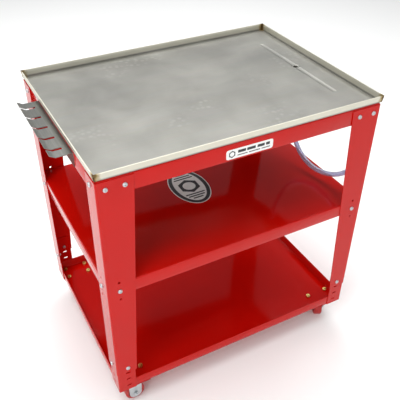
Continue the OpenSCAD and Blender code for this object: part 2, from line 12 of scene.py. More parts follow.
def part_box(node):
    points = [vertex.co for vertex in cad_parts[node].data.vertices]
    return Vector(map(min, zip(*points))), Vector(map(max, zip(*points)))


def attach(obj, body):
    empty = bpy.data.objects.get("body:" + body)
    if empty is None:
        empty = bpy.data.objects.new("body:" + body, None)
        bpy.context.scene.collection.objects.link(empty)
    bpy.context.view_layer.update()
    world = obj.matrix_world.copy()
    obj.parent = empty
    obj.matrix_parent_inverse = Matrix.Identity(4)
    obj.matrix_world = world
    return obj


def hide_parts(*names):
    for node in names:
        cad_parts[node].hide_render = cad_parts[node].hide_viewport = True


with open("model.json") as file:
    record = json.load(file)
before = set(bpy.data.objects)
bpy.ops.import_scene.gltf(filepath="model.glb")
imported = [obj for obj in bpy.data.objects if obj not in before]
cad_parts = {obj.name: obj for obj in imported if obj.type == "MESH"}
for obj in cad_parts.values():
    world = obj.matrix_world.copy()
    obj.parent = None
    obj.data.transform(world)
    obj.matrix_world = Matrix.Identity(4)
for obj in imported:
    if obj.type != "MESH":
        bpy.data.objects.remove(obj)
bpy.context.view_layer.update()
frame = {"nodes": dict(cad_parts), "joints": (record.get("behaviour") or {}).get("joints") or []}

# ---------- camera ----------
# The cart is seen from its front left, from about the eye height of someone who stands in front of it.
eye = Vector((-0.7046, -1.3827, 1.6496))
looks_along = Vector((0.38014, 0.70446, -0.59936))
camera_roll = math.radians(0.506)
focal_length_mm = 53.54
camera = bpy.data.objects.new("camera", bpy.data.cameras.new("camera"))
camera.data.lens = focal_length_mm
upright = looks_along.to_track_quat("-Z", "Y").to_matrix()
camera.matrix_world = Matrix.Translation(eye) @ (upright @ Matrix.Rotation(camera_roll, 3, "Z")).to_4x4()
bpy.context.scene.collection.objects.link(camera)
bpy.context.scene.camera = camera

# ---------- drain hose ----------
# Clear vinyl tube, 16 mm outside and 12.6 mm inside, pushed over the barb under the tray. It sags over the
# middle shelf and comes up to a clip inside the front right leg, where its open end stays.
mm = 0.001
left_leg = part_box("leg_front_left")
right_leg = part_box("leg_front_right")
middle_x = (left_leg[0].x + right_leg[1].x) / 2
hose_diameter = 16 * mm
hose_wall = 1.7 * mm
hose_steps = 8
hose_route = [
    (348, 0, 846),
    (348, 0, 815),
    (350, 4, 780),
    (355, 9, 742),
    (360, 9, 704),
    (363, 1, 667),
    (363, -15, 633),
    (362, -40, 604),
    (363, -72, 583),
    (366, -108, 571),
    (373, -146, 568),
    (382, -183, 574),
    (392, -218, 590),
    (400, -247, 616),
    (404, -268, 648),
    (405, -280, 684),
    (405, -284, 721),
    (405, -284, 752),
]


def linear(hex_colour):
    """an sRGB hex colour as the linear colour that a socket takes"""
    parts = [int(hex_colour[i : i + 2], 16) / 255 for i in (1, 3, 5)]
    return [c / 12.92 if c <= 0.04045 else ((c + 0.055) / 1.055) ** 2.4 for c in parts] + [1]


def add(tree, kind, inputs=None, **settings):
    """adds a node with its settings; inputs are values to set or sockets to link, by name or number"""
    node = tree.nodes.new("ShaderNode" + kind)
    for name, value in settings.items():
        setattr(node, name, value)
    for name, value in (inputs or {}).items():
        if isinstance(value, bpy.types.NodeSocket):
            tree.links.new(value, node.inputs[name])
        else:
            node.inputs[name].default_value = value
    return node


def begin_finish(name, **constants):
    """a new material with its constants on the shader, and what its patterns start from"""
    material = bpy.data.materials.new(name)
    material.use_nodes = True
    tree = material.node_tree
    shader = tree.nodes["Principled BSDF"]
    for socket, value in constants.items():
        shader.inputs[socket.replace("_", " ")].default_value = value
    return material, tree, shader, add(tree, "TexCoord").outputs["Object"]


def link(tree, source, shader, socket):
    """drives a socket of the shader"""
    tree.links.new(source, shader.inputs[socket])


def per_metre(size):
    """a pattern's scale, from the size in millimetres of one of its patches"""
    return 1000 / size


# plasticised PVC, extruded: a clear wall with a faint violet cast, its gloss uneven in smears of a
# finger's width from handling
clear_vinyl, tree, shader, place = begin_finish(
    "clear_vinyl", Base_Color=linear("#D9D8EE"), IOR=1.53, Transmission_Weight=0.8
)
smears = add(tree, "TexNoise", {"Vector": place, "Scale": per_metre(16.7), "Detail": 3})
haze = add(tree, "MapRange", {"Value": smears.outputs["Fac"], "To Min": 0.03, "To Max": 0.16})
link(tree, haze.outputs["Result"], shader, "Roughness")

hose_curve = bpy.data.curves.new("drain_hose_tube", "CURVE")
hose_curve.dimensions = "3D"
hose_curve.resolution_u = hose_steps
hose_curve.bevel_depth = hose_diameter / 2
hose_curve.bevel_resolution = 6
run = hose_curve.splines.new("BEZIER")
run.bezier_points.add(len(hose_route) - 1)
for knot, (x, y, z) in zip(run.bezier_points, hose_route):
    knot.co = (middle_x + x * mm, y * mm, z * mm)
    knot.handle_left_type = knot.handle_right_type = "AUTO"
hose = bpy.data.objects.new("drain_hose_tube", hose_curve)
bpy.context.scene.collection.objects.link(hose)
bpy.ops.object.select_all(action="DESELECT")
hose.select_set(True)
bpy.context.view_layer.objects.active = hose
bpy.ops.object.convert(target="MESH")
hose = bpy.context.view_layer.objects.active


def apply(piece, kind, **settings):
    """adds a modifier with its settings and applies it"""
    modifier = piece.modifiers.new(kind.lower(), kind)
    for name, value in settings.items():
        setattr(modifier, name, value)
    bpy.context.view_layer.objects.active = piece
    bpy.ops.object.modifier_apply(modifier=modifier.name)


def hand_over(piece, name, material, slot, *replaced, body="cart"):
    """names a finished piece, gives it its finish and puts it on its body in the place of CAD nodes"""
    piece.name = piece.data.name = name
    piece.data.materials.clear()
    piece.data.materials.append(material)
    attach(piece, body)
    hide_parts(*replaced)


apply(hose, "SOLIDIFY", thickness=hose_wall, offset=-1)
bpy.ops.object.shade_smooth()
hand_over(hose, "drain_hose_tube", clear_vinyl, "clear_vinyl", "drain_hose")

# ---------- studio ----------
# A pale seamless floor, a surround that is white at floor level and dim above, and three large soft lights:
# one overhead, one at the left and a weak one in front. Standard view keeps the coat's red saturated.
bpy.context.scene.view_settings.view_transform = "Standard"

world = bpy.data.worlds.new("studio")
world.use_nodes = True
bpy.context.scene.world = world
sky = world.node_tree.nodes["Background"]
sky.inputs["Color"].default_value = linear("#F4F6F8")
towards = add(
    world.node_tree, "SeparateXYZ", {"Vector": add(world.node_tree, "TexCoord").outputs["Generated"]}
)
# how far up a direction points, as the sine of its angle: bright up to the first, dim from the second
bright_up_to, dim_from = 0.12, 0.42
glow = add(
    world.node_tree,
    "MapRange",
    {
        "Value": towards.outputs["Z"],
        "From Min": bright_up_to,
        "From Max": dim_from,
        "To Min": 0.95,
        "To Max": 0.25,
    },
)
world.node_tree.links.new(glow.outputs["Result"], sky.inputs["Strength"])

floor_size = 11
bpy.ops.object.select_all(action="DESELECT")
bpy.ops.mesh.primitive_plane_add(size=floor_size)
floor = bpy.context.object
floor.name = "studio_floor"
# backdrop paper: plain matt white
paper, tree, shader, place = begin_finish("seamless_paper", Base_Color=linear("#FBFBFA"), Roughness=0.9)
floor.data.materials.append(paper)


def softbox(name, place, aim, size, power):
    """a square soft light turned to a point, with its size in metres and its power in watts"""
    light = bpy.data.lights.new(name, "AREA")
    light.size = size
    light.energy = power
    lamp = bpy.data.objects.new(name, light)
    lamp.matrix_world = Matrix.Translation(place) @ (
        (aim - place).to_track_quat("-Z", "Y").to_matrix().to_4x4()
    )
    bpy.context.scene.collection.objects.link(lamp)


cart_heart = Vector((0, 0, 0.5))
softbox("overhead_light", Vector((0.1, 0.75, 4.0)), cart_heart, size=5.0, power=250)
softbox("key_light", Vector((-2.4, -1.8, 2.3)), cart_heart, size=1.8, power=52)
softbox("fill_light", Vector((1.2, -2.8, 1.5)), cart_heart, size=2.0, power=14)

# ---------- folded frame: legs, feet and aprons ----------
# Mild steel sheet, 2 and 2.5 mm thick, laser cut, folded on a press brake and bolted together. The feet sit
# inside the legs; three slots on each face let a leg be set higher or lower.

# a Mix node for colours takes them at inputs 6 and 7 and gives their mixture at output 2
colour_a, colour_b, mixture = 6, 7, 2

# powder coat: a thick, glossy baked-on skin that follows the sheet, with the fine dimples of orange peel,
# slow waves from the folded sheet below, and faint scuffs that vary its gloss
red_powder_coat, tree, shader, place = begin_finish("red_powder_coat", IOR=1.33)
drift = add(tree, "TexNoise", {"Vector": place, "Scale": per_metre(143), "Detail": 2})
tone = add(
    tree,
    "Mix",
    {"Factor": drift.outputs["Fac"], colour_a: linear("#B40A03"), colour_b: linear("#C00D05")},
    data_type="RGBA",
)
link(tree, tone.outputs[mixture], shader, "Base Color")
# scuffs about 5 mm wide and 40 mm long, at a slant
scuff_way = add(
    tree,
    "Mapping",
    {
        "Vector": place,
        "Rotation": (0, 0, math.radians(34.4)),
        "Scale": (per_metre(38.5), per_metre(5.26), per_metre(25)),
    },
)
scuffs = add(tree, "TexNoise", {"Vector": scuff_way.outputs["Vector"], "Scale": 1, "Detail": 5})
gloss = add(
    tree,
    "MapRange",
    {"Value": scuffs.outputs["Fac"], "From Min": 0.35, "From Max": 0.8, "To Min": 0.05, "To Max": 0.14},
)
link(tree, gloss.outputs["Result"], shader, "Roughness")
# orange peel cells are about 2 mm across, drawn at 3 mm so that they show; the sheet's waves are 9 cm long
peel = add(tree, "TexNoise", {"Vector": place, "Scale": per_metre(3.03), "Detail": 1})
sheet_wave = add(tree, "TexNoise", {"Vector": place, "Scale": per_metre(90.9), "Detail": 1})
wavy = add(tree, "Bump", {"Height": sheet_wave.outputs["Fac"], "Strength": 0.04, "Distance": 2 * mm})
dimpled = add(
    tree,
    "Bump",
    {
        "Height": peel.outputs["Fac"],
        "Strength": 0.12,
        "Distance": 0.4 * mm,
        "Normal": wavy.outputs["Normal"],
    },
)
link(tree, dimpled.outputs["Normal"], shader, "Normal")


def begin(primitive, place, extent, **shape):
    """adds a primitive of unit size at its place, stretched to its extent"""
    bpy.ops.object.select_all(action="DESELECT")
    primitive(location=place, **shape)
    piece = bpy.context.object
    piece.scale = extent
    bpy.ops.object.transform_apply(location=True, rotation=True, scale=True)
    return piece


def choose(kind, test=lambda part: True):
    """selects the vertices, edges or faces of the piece in edit mode that pass a test"""
    bpy.ops.mesh.select_mode(type={"verts": "VERT", "edges": "EDGE", "faces": "FACE"}[kind])
    bpy.ops.mesh.select_all(action="DESELECT")
    mesh = bmesh.from_edit_mesh(bpy.context.edit_object.data)
    mesh.normal_update()
    for part in [p for p in getattr(mesh, kind) if test(p)]:
        part.select_set(True)
    mesh.select_flush_mode()
    bmesh.update_edit_mesh(bpy.context.edit_object.data)


def middle(part):
    """the middle of an edge or a face"""
    return sum((v.co for v in part.verts), Vector()) / len(part.verts)


def near(a, b, reach=0.1 * mm):
    """whether two measures are the same within reach"""
    return abs(a - b) < reach


def edit_mode():
    bpy.ops.object.mode_set(mode="EDIT")


def object_mode():
    bpy.ops.object.mode_set(mode="OBJECT")


def smooth(piece, turn=32):
    """shades a piece smooth where its faces meet at less than a turn in degrees"""
    bpy.ops.object.select_all(action="DESELECT")
    piece.select_set(True)
    bpy.context.view_layer.objects.active = piece
    bpy.ops.object.shade_smooth_by_angle(angle=math.radians(turn))


def merged_copy(node):
    """a copy of a CAD node with its loose triangles merged to whole faces"""
    bpy.ops.object.select_all(action="DESELECT")
    piece = bpy.data.objects.new(node + "_copy", frame["nodes"][node].data.copy())
    bpy.context.scene.collection.objects.link(piece)
    piece.select_set(True)
    bpy.context.view_layer.objects.active = piece
    bpy.ops.mesh.customdata_custom_splitnormals_clear()
    edit_mode()
    choose("verts")
    bpy.ops.mesh.remove_doubles(threshold=0.01 * mm)
    bpy.ops.mesh.dissolve_limited(angle_limit=math.radians(1))
    object_mode()
    return piece


def ease_edges(piece, width):
    """rounds the sharp edges of a piece"""
    apply(piece, "BEVEL", width=width, segments=2, limit_method="ANGLE", angle_limit=math.radians(40))


def softened(node, name, material, slot, edge, body="cart"):
    """a merged copy of a CAD node with its sharp edges rounded stands for the node"""
    piece = merged_copy(node)
    ease_edges(piece, edge)
    smooth(piece)
    # the weights keep large flat faces evenly shaded between their narrow rounded edges
    apply(piece, "WEIGHTED_NORMAL", keep_sharp=True)
    hand_over(piece, name, material, slot, node, body=body)


corners = ["front_left", "front_right", "rear_left", "rear_right"]
cut_edge = 0.4 * mm
for corner in corners:
    for part in ("leg_", "foot_"):
        softened(part + corner, part + corner + "_folded", red_powder_coat, "red_powder_coat", cut_edge)

apron_sheet = 2 * mm
apron_fold = 4 * mm
top_flange = 25 * mm
bottom_flange = 15 * mm
burr_edge = 0.3 * mm


def bent_rail(node, inwards):
    """an apron: its web with a wide flange at the top and a narrow one below, both folded inwards"""
    low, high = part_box(node)
    size = high - low
    along = 0 if inwards.y else 1
    web = (low + high) / 2 - inwards * (abs(inwards.dot(size)) / 2)
    across = Vector((0, 0, 0))
    across[along] = size[along]
    rail = begin(bpy.ops.mesh.primitive_plane_add, web, (1, 1, 1), size=1)
    for vertex, (end, level) in zip(rail.data.vertices, ((-1, -1), (1, -1), (-1, 1), (1, 1))):
        vertex.co = web + across * (end / 2) + Vector((0, 0, level * size.z / 2))
    edit_mode()
    for level, flange in ((high.z, top_flange), (low.z, bottom_flange)):
        choose("edges", lambda e: near(middle(e).z, level) and near((middle(e) - web).dot(inwards), 0))
        bpy.ops.mesh.extrude_edges_move(TRANSFORM_OT_translate={"value": inwards * flange})
    choose("edges", lambda e: near((middle(e) - web).dot(inwards), 0) and len(e.link_faces) == 2)
    bpy.ops.mesh.bevel(offset=apron_fold, segments=4, affect="EDGES")
    choose("faces")
    bpy.ops.mesh.normals_make_consistent(inside=False)
    object_mode()
    apply(rail, "SOLIDIFY", thickness=apron_sheet, offset=-1)
    ease_edges(rail, burr_edge)
    smooth(rail)
    hand_over(rail, node + "_folded", red_powder_coat, "red_powder_coat", node)


for node, inwards in (
    ("apron_front", Vector((0, 1, 0))),
    ("apron_rear", Vector((0, -1, 0))),
    ("apron_left", Vector((1, 0, 0))),
    ("apron_right", Vector((-1, 0, 0))),
):
    bent_rail(node, inwards)

# ---------- shelves ----------
# Two trays of 1.5 mm steel sheet in the same red coat: the middle one has its lips folded down, so that
# its top is flat, and the bottom one has them folded up, so that it holds what drips and rolls.
shelf_sheet = 1.5 * mm
shelf_corner = 6 * mm
shelf_fold = 3.5 * mm


def folded_shelf(node, open_side):
    """a five-sided box, open at the top (1) or at the bottom (-1), with rounded folds"""
    low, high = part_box(node)
    shelf = begin(bpy.ops.mesh.primitive_cube_add, (low + high) / 2, high - low, size=1)
    edit_mode()
    choose("edges", lambda e: near(middle(e).z, (low.z + high.z) / 2))
    bpy.ops.mesh.bevel(offset=shelf_corner, segments=5, affect="EDGES")
    choose("faces", lambda f: f.normal.z * open_side > 0.9)
    bpy.ops.mesh.delete(type="FACE")
    fold_z = low.z if open_side > 0 else high.z
    choose("edges", lambda e: near(middle(e).z, fold_z))
    bpy.ops.mesh.bevel(offset=shelf_fold, segments=4, affect="EDGES")
    object_mode()
    apply(shelf, "SOLIDIFY", thickness=shelf_sheet, offset=-1)
    ease_edges(shelf, burr_edge)
    smooth(shelf)
    hand_over(shelf, node + "_folded", red_powder_coat, "red_powder_coat", node)


folded_shelf("mid_shelf", -1)
folded_shelf("bottom_shelf", 1)

# ---------- drain tray ----------
# One sheet of 1.5 mm stainless steel with a shallow rim, folded over at its top and welded at the corners.
# A groove pressed into the floor runs on both sides of a shallow dish with the drain hole.
tray_low, tray_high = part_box("drain_tray")
tray_middle = (tray_low + tray_high) / 2
half_tray = (tray_high - tray_low) / 2
tray_sheet = 1.5 * mm
rim_height = 22 * mm
floor_top = tray_high.z - rim_height + tray_sheet

# cold-rolled stainless sheet, dull from the mill and wiped many times: soft cloudy swirls, a fine grain
# along its length, dried splashes, and brown and straw heat tint where the corners were welded
stainless_tray, tree, shader, place = begin_finish("mill_finish_stainless", Metallic=1.0)
# clouds about 11 cm across, pulled into swirls by a wider drift of 20 cm
swirl = add(tree, "TexNoise", {"Vector": place, "Scale": per_metre(200), "Detail": 2})
cloud_place = add(
    tree,
    "Mix",
    {"Factor": 0.12, colour_a: place, colour_b: swirl.outputs["Color"]},
    data_type="RGBA",
)
clouds = add(
    tree, "TexNoise", {"Vector": cloud_place.outputs[mixture], "Scale": per_metre(111), "Detail": 5}
)
# mill grain is much finer than a millimetre, drawn 1.4 mm wide and 17 cm long so that it shows
grain_way = add(
    tree, "Mapping", {"Vector": place, "Scale": (per_metre(167), per_metre(1.43), per_metre(16.7))}
)
grain = add(tree, "TexNoise", {"Vector": grain_way.outputs["Vector"], "Scale": 1, "Detail": 3})
cloud_tone = add(tree, "MapRange", {"Value": clouds.outputs["Fac"], "From Min": 0.3, "From Max": 0.7})
steel_tone = add(
    tree,
    "Mix",
    {"Factor": cloud_tone.outputs["Result"], colour_a: linear("#8A8984"), colour_b: linear("#9B9A94")},
    data_type="RGBA",
)
# dried splashes: drops about 17 mm apart, in a few patches about 17 cm apart
splash_drops = add(tree, "TexVoronoi", {"Vector": place, "Scale": per_metre(16.67)})
drop_mask = add(
    tree,
    "MapRange",
    {"Value": splash_drops.outputs["Distance"], "From Min": 0.5, "From Max": 0.2, "To Max": 0.4},
)
splash_area = add(tree, "TexNoise", {"Vector": place, "Scale": per_metre(166.7)})
area_mask = add(
    tree, "MapRange", {"Value": splash_area.outputs["Fac"], "From Min": 0.58, "From Max": 0.68}
)
splashed = add(
    tree,
    "Math",
    {0: drop_mask.outputs["Result"], 1: area_mask.outputs["Result"]},
    operation="MULTIPLY",
)
splash_tone = add(
    tree,
    "Mix",
    {"Factor": splashed.outputs[0], colour_a: steel_tone.outputs[mixture], colour_b: linear("#AAA9A3")},
    data_type="RGBA",
)
grained = add(
    tree,
    "Mix",
    {"Factor": 0.10, colour_a: splash_tone.outputs[mixture], colour_b: grain.outputs["Color"]},
    data_type="RGBA",
    blend_type="OVERLAY",
)
# painted reflection: the rim is painted lighter to stand for the bright floor it reflects; it grows lighter
# from 2 to 6 mm above the tray's floor
heights = add(tree, "SeparateXYZ", {"Vector": place})
painted_rim_reflection_mask = add(
    tree,
    "MapRange",
    {"Value": heights.outputs["Z"], "From Min": floor_top + 2 * mm, "From Max": floor_top + 6 * mm},
)
# the rim's light colour is a painted reflection of the floor, not a colour of the steel
with_painted_rim_reflection = add(
    tree,
    "Mix",
    {"Factor": painted_rim_reflection_mask.outputs["Result"], colour_a: grained.outputs[mixture], colour_b: linear("#D3D0C2")},
    data_type="RGBA",
)
# heat tint: bands of straw and brown by the distance from the nearest corner weld, seen from above
weld_depth = 2 * mm
centred = add(tree, "Mapping", {"Vector": place, "Location": (-tray_middle.x, -tray_middle.y, 0)})
folded_over = add(tree, "VectorMath", {0: centred.outputs["Vector"]}, operation="ABSOLUTE")
flat = add(tree, "VectorMath", {0: folded_over.outputs[0], 1: (1, 1, 0)}, operation="MULTIPLY")
to_corner = add(
    tree,
    "VectorMath",
    {0: flat.outputs[0], 1: (half_tray.x - weld_depth, half_tray.y - weld_depth, 0)},
    operation="DISTANCE",
)
frayed = add(tree, "TexNoise", {"Vector": place, "Scale": per_metre(11.1), "Detail": 3})
edge_shift = add(tree, "MapRange", {"Value": frayed.outputs["Fac"], "To Min": -8 * mm, "To Max": 8 * mm})
heat = add(tree, "Math", {0: to_corner.outputs["Value"], 1: edge_shift.outputs["Result"]})
straw = add(tree, "MapRange", {"Value": heat.outputs[0], "From Min": 18 * mm, "From Max": 6 * mm})
brown = add(tree, "MapRange", {"Value": heat.outputs[0], "From Min": 8 * mm, "From Max": 1 * mm})
with_straw = add(
    tree,
    "Mix",
    {"Factor": straw.outputs["Result"], colour_a: with_painted_rim_reflection.outputs[mixture], colour_b: linear("#A08C5C")},
    data_type="RGBA",
)
with_brown = add(
    tree,
    "Mix",
    {"Factor": brown.outputs["Result"], colour_a: with_straw.outputs[mixture], colour_b: linear("#4A3320")},
    data_type="RGBA",
)
link(tree, with_brown.outputs[mixture], shader, "Base Color")
dull = add(
    tree,
    "MapRange",
    {"Value": clouds.outputs["Fac"], "From Min": 0.3, "From Max": 0.75, "To Min": 0.46, "To Max": 0.53},
)
link(tree, dull.outputs["Result"], shader, "Roughness")
sheet_wave = add(tree, "TexNoise", {"Vector": place, "Scale": per_metre(125), "Detail": 1})
wavy = add(tree, "Bump", {"Height": sheet_wave.outputs["Fac"], "Strength": 0.06, "Distance": 2 * mm})
brushed = add(
    tree,
    "Bump",
    {
        "Height": grain.outputs["Fac"],
        "Strength": 0.12,
        "Distance": 0.3 * mm,
        "Normal": wavy.outputs["Normal"],
    },
)
link(tree, brushed.outputs["Normal"], shader, "Normal")

softened("drain_tray", "drain_tray_sheet", stainless_tray, "brushed_stainless", 0.5 * mm)

# stainless weld bead, left as welded: mottled brown and straw by the heat, with a slightly pitted skin
heat_blued_weld, tree, shader, place = begin_finish("heat_blued_weld", Metallic=1.0)
blueing = add(tree, "TexNoise", {"Vector": place, "Scale": per_metre(3.33), "Detail": 2})
weld_tone = add(
    tree,
    "Mix",
    {"Factor": blueing.outputs["Fac"], colour_a: linear("#3A2A1C"), colour_b: linear("#9A8358")},
    data_type="RGBA",
)
link(tree, weld_tone.outputs[mixture], shader, "Base Color")
pitting = add(tree, "MapRange", {"Value": blueing.outputs["Fac"], "To Min": 0.25, "To Max": 0.6})
link(tree, pitting.outputs["Result"], shader, "Roughness")


def join(pieces):
    """joins pieces into the first of them"""
    bpy.ops.object.select_all(action="DESELECT")
    for piece in pieces:
        piece.select_set(True)
    bpy.context.view_layer.objects.active = pieces[0]
    bpy.ops.object.join()
    return pieces[0]


# the corner welds: short beads laid drop over drop down each corner of the rim, which leans outwards
bead_radius = 1.3 * mm
bead_height = 0.8 * bead_radius
bead_step = 1.7 * mm
bead_count = 11
weld_inset = 3.4 * mm
rim_lean = 1.6 * mm
drops = []
for right in (-1, 1):
    for rear in (-1, 1):
        for step in range(bead_count):
            level = tray_high.z - bead_radius - step * bead_step
            inset = weld_inset - rim_lean * (1 - step / bead_count)
            corner_x = tray_middle.x + right * (half_tray.x - inset)
            corner_y = tray_middle.y + rear * (half_tray.y - inset)
            drops.append(
                begin(
                    bpy.ops.mesh.primitive_uv_sphere_add,
                    (corner_x, corner_y, level),
                    (bead_radius, bead_radius, bead_height),
                    radius=1,
                    segments=10,
                    ring_count=6,
                )
            )
welds = join(drops)
smooth(welds, turn=60)
hand_over(welds, "corner_welds", heat_blued_weld, "brushed_stainless")

# ---------- drain fittings ----------
# A stainless spud welded below the dish, a turned brass barb screwed into it, a zinc-plated worm-drive clamp
# round the hose, and a black nylon clip that holds the hose's far end against the leg.

# turned brass: warm yellow with fine rings left by the tool and a little tarnish
turned_brass, tree, shader, place = begin_finish("turned_brass", Metallic=1.0)
tarnish = add(tree, "TexNoise", {"Vector": place, "Scale": per_metre(8.33), "Detail": 3})
brass_tone = add(
    tree,
    "Mix",
    {"Factor": tarnish.outputs["Fac"], colour_a: linear("#A8843C"), colour_b: linear("#D9BC74")},
    data_type="RGBA",
)
link(tree, brass_tone.outputs[mixture], shader, "Base Color")
# the tool leaves rings finer than can be seen, drawn 0.8 mm apart; at scale 1 the bands are pi / 10 apart
ring_pitch = 0.785 * mm
tool_rings = add(
    tree, "TexWave", {"Vector": place, "Scale": math.pi / 10 / ring_pitch}, bands_direction="Z"
)
ring_gloss = add(tree, "MapRange", {"Value": tool_rings.outputs["Fac"], "To Min": 0.2, "To Max": 0.38})
link(tree, ring_gloss.outputs["Result"], shader, "Roughness")

# bright zinc plating: cool white metal, a little cloudy, with faint drag lines from pressing
bright_zinc, tree, shader, place = begin_finish("bright_zinc_plating", Metallic=1.0)
bloom = add(tree, "TexNoise", {"Vector": place, "Scale": per_metre(14.3), "Detail": 4})
zinc_tone = add(
    tree,
    "Mix",
    {"Factor": bloom.outputs["Fac"], colour_a: linear("#AEB4B8"), colour_b: linear("#DADEDF")},
    data_type="RGBA",
)
link(tree, zinc_tone.outputs[mixture], shader, "Base Color")
zinc_gloss = add(tree, "MapRange", {"Value": bloom.outputs["Fac"], "To Min": 0.2, "To Max": 0.42})
link(tree, zinc_gloss.outputs["Result"], shader, "Roughness")
drag_way = add(
    tree, "Mapping", {"Vector": place, "Scale": (per_metre(1.11), per_metre(1.11), per_metre(16.7))}
)
drag = add(tree, "TexNoise", {"Vector": drag_way.outputs["Vector"], "Scale": 1})
dragged = add(tree, "Bump", {"Height": drag.outputs["Fac"], "Strength": 0.1, "Distance": 0.3 * mm})
link(tree, dragged.outputs["Normal"], shader, "Normal")

# glass-filled nylon, moulded: near black, with a fine matt grain
black_nylon, tree, shader, place = begin_finish("moulded_black_nylon", Base_Color=linear("#1D1E20"))
grain_spots = add(tree, "TexNoise", {"Vector": place, "Scale": per_metre(1.11)})
matt = add(tree, "MapRange", {"Value": grain_spots.outputs["Fac"], "To Min": 0.4, "To Max": 0.6})
link(tree, matt.outputs["Result"], shader, "Roughness")
grained_skin = add(
    tree, "Bump", {"Height": grain_spots.outputs["Fac"], "Strength": 0.2, "Distance": 0.2 * mm}
)
link(tree, grained_skin.outputs["Normal"], shader, "Normal")

softened("drain_spud", "drain_spud_turned", stainless_tray, "brushed_stainless", 0.5 * mm)
softened("hose_barb", "hose_barb_turned", turned_brass, "brass_fitting", 0.25 * mm)
softened("hose_clamp", "hose_clamp_band", bright_zinc, "zinc_plated_steel", 0.25 * mm)
softened("hose_clip", "hose_clip_moulded", black_nylon, "black_nylon", 0.6 * mm)

# ---------- finger rack ----------
# One piece of 2 mm stainless sheet hung on the left apron: a flange with three screws, a spine and six
# fingers with bent-up tips, between which valves or other headed parts hang.

# brushed stainless: grain along the rack, darker and smoother than the tray; its strokes are finer than a
# millimetre, drawn 1.25 mm wide
brushed_stainless, tree, shader, place = begin_finish("brushed_stainless", Metallic=1.0)
brush_way = add(
    tree, "Mapping", {"Vector": place, "Scale": (per_metre(1.25), per_metre(100), per_metre(1.25))}
)
strokes = add(tree, "TexNoise", {"Vector": brush_way.outputs["Vector"], "Scale": 1, "Detail": 3})
rack_tone = add(
    tree,
    "Mix",
    {"Factor": strokes.outputs["Fac"], colour_a: linear("#767672"), colour_b: linear("#A3A39E")},
    data_type="RGBA",
)
link(tree, rack_tone.outputs[mixture], shader, "Base Color")
stroke_gloss = add(tree, "MapRange", {"Value": strokes.outputs["Fac"], "To Min": 0.24, "To Max": 0.4})
link(tree, stroke_gloss.outputs["Result"], shader, "Roughness")
stroked = add(tree, "Bump", {"Height": strokes.outputs["Fac"], "Strength": 0.15, "Distance": 0.3 * mm})
link(tree, stroked.outputs["Normal"], shader, "Normal")

softened("finger_rack", "finger_rack_sheet", brushed_stainless, "brushed_stainless", cut_edge)

# ---------- bolts, screws and nuts ----------
# Button-head bolts with hexagon sockets hold the frame, all with their heads outside; their nuts and the
# nuts of the caster bolts are plain chamfered hexagons. The caster bolts and nuts are yellow zinc.

# yellow zinc: the plating with a chromate film, straw yellow that drifts to green and rose
yellow_zinc, tree, shader, place = begin_finish("yellow_zinc_plating", Metallic=1.0)
film = add(tree, "TexNoise", {"Vector": place, "Scale": per_metre(6.25), "Detail": 2})
film_tone = add(
    tree,
    "Mix",
    {"Factor": film.outputs["Fac"], colour_a: linear("#B9A24C"), colour_b: linear("#D6C88A")},
    data_type="RGBA",
)
link(tree, film_tone.outputs[mixture], shader, "Base Color")
film_gloss = add(tree, "MapRange", {"Value": film.outputs["Fac"], "To Min": 0.22, "To Max": 0.36})
link(tree, film_gloss.outputs["Result"], shader, "Roughness")


def cut(piece, tool, how="DIFFERENCE"):
    """cuts a piece with a tool, or keeps what they share, and throws the tool away"""
    apply(piece, "BOOLEAN", object=tool, operation=how, solver="EXACT")
    bpy.data.objects.remove(tool)


def rod(half_x, low_z, high_z, sides=32, half_y=None):
    """a cylinder on the z axis between two heights, round unless its other half width is given"""
    return begin(
        bpy.ops.mesh.primitive_cylinder_add,
        (0, 0, (low_z + high_z) / 2),
        (half_x, half_y or half_x, high_z - low_z),
        radius=1,
        depth=1,
        vertices=sides,
    )


def button_bolt(head_radius, head_height, shank_radius, length):
    """a bolt along z, its domed head above z = 0 and its shank below, with a hexagon socket"""
    dome = 0.72 * head_height
    socket_radius, socket_floor = 0.36 * head_radius, 0.42 * head_height
    tip_width, tip_height = 0.5 * mm, 0.4 * mm
    bolt = rod(head_radius, 0, head_height)
    edit_mode()
    choose("edges", lambda e: all(near(v.co.z, head_height) for v in e.verts))
    bpy.ops.mesh.bevel(offset=dome, segments=5, affect="EDGES")
    choose("faces", lambda f: f.normal.z < -0.9)
    bpy.ops.mesh.inset(thickness=head_radius - shank_radius)
    bpy.ops.mesh.extrude_region_move(TRANSFORM_OT_translate={"value": (0, 0, head_height - length)})
    bpy.ops.mesh.inset(thickness=tip_width)
    bpy.ops.transform.translate(value=(0, 0, -tip_height))
    object_mode()
    cut(bolt, rod(socket_radius, socket_floor, 2 * head_height, sides=6))
    return bolt


def hex_nut(radius, height, hole_radius):
    """a nut along z, its lower face at z = 0, its corners chamfered where a turned blank ends"""
    chamfer = 0.14 * radius
    nut = rod(radius, 0, height, sides=6)
    turned = rod(1.01 * radius, 0, height, sides=48)
    edit_mode()
    choose("edges", lambda e: near(e.verts[0].co.z, e.verts[1].co.z))
    bpy.ops.mesh.bevel(offset=chamfer, segments=2, affect="EDGES")
    object_mode()
    cut(nut, turned, "INTERSECT")
    cut(nut, rod(hole_radius, -height, 2 * height))
    return nut


def solids(node):
    """the lowest and highest corners of each separate solid of a CAD node"""
    merged_copy(node)
    edit_mode()
    choose("verts")
    bpy.ops.mesh.separate(type="LOOSE")
    object_mode()
    boxes = []
    for part in list(bpy.context.selected_objects):
        points = [v.co for v in part.data.vertices]
        boxes.append([Vector(bound(p[i] for p in points) for i in range(3)) for bound in (min, max)])
        bpy.data.objects.remove(part)
    return boxes


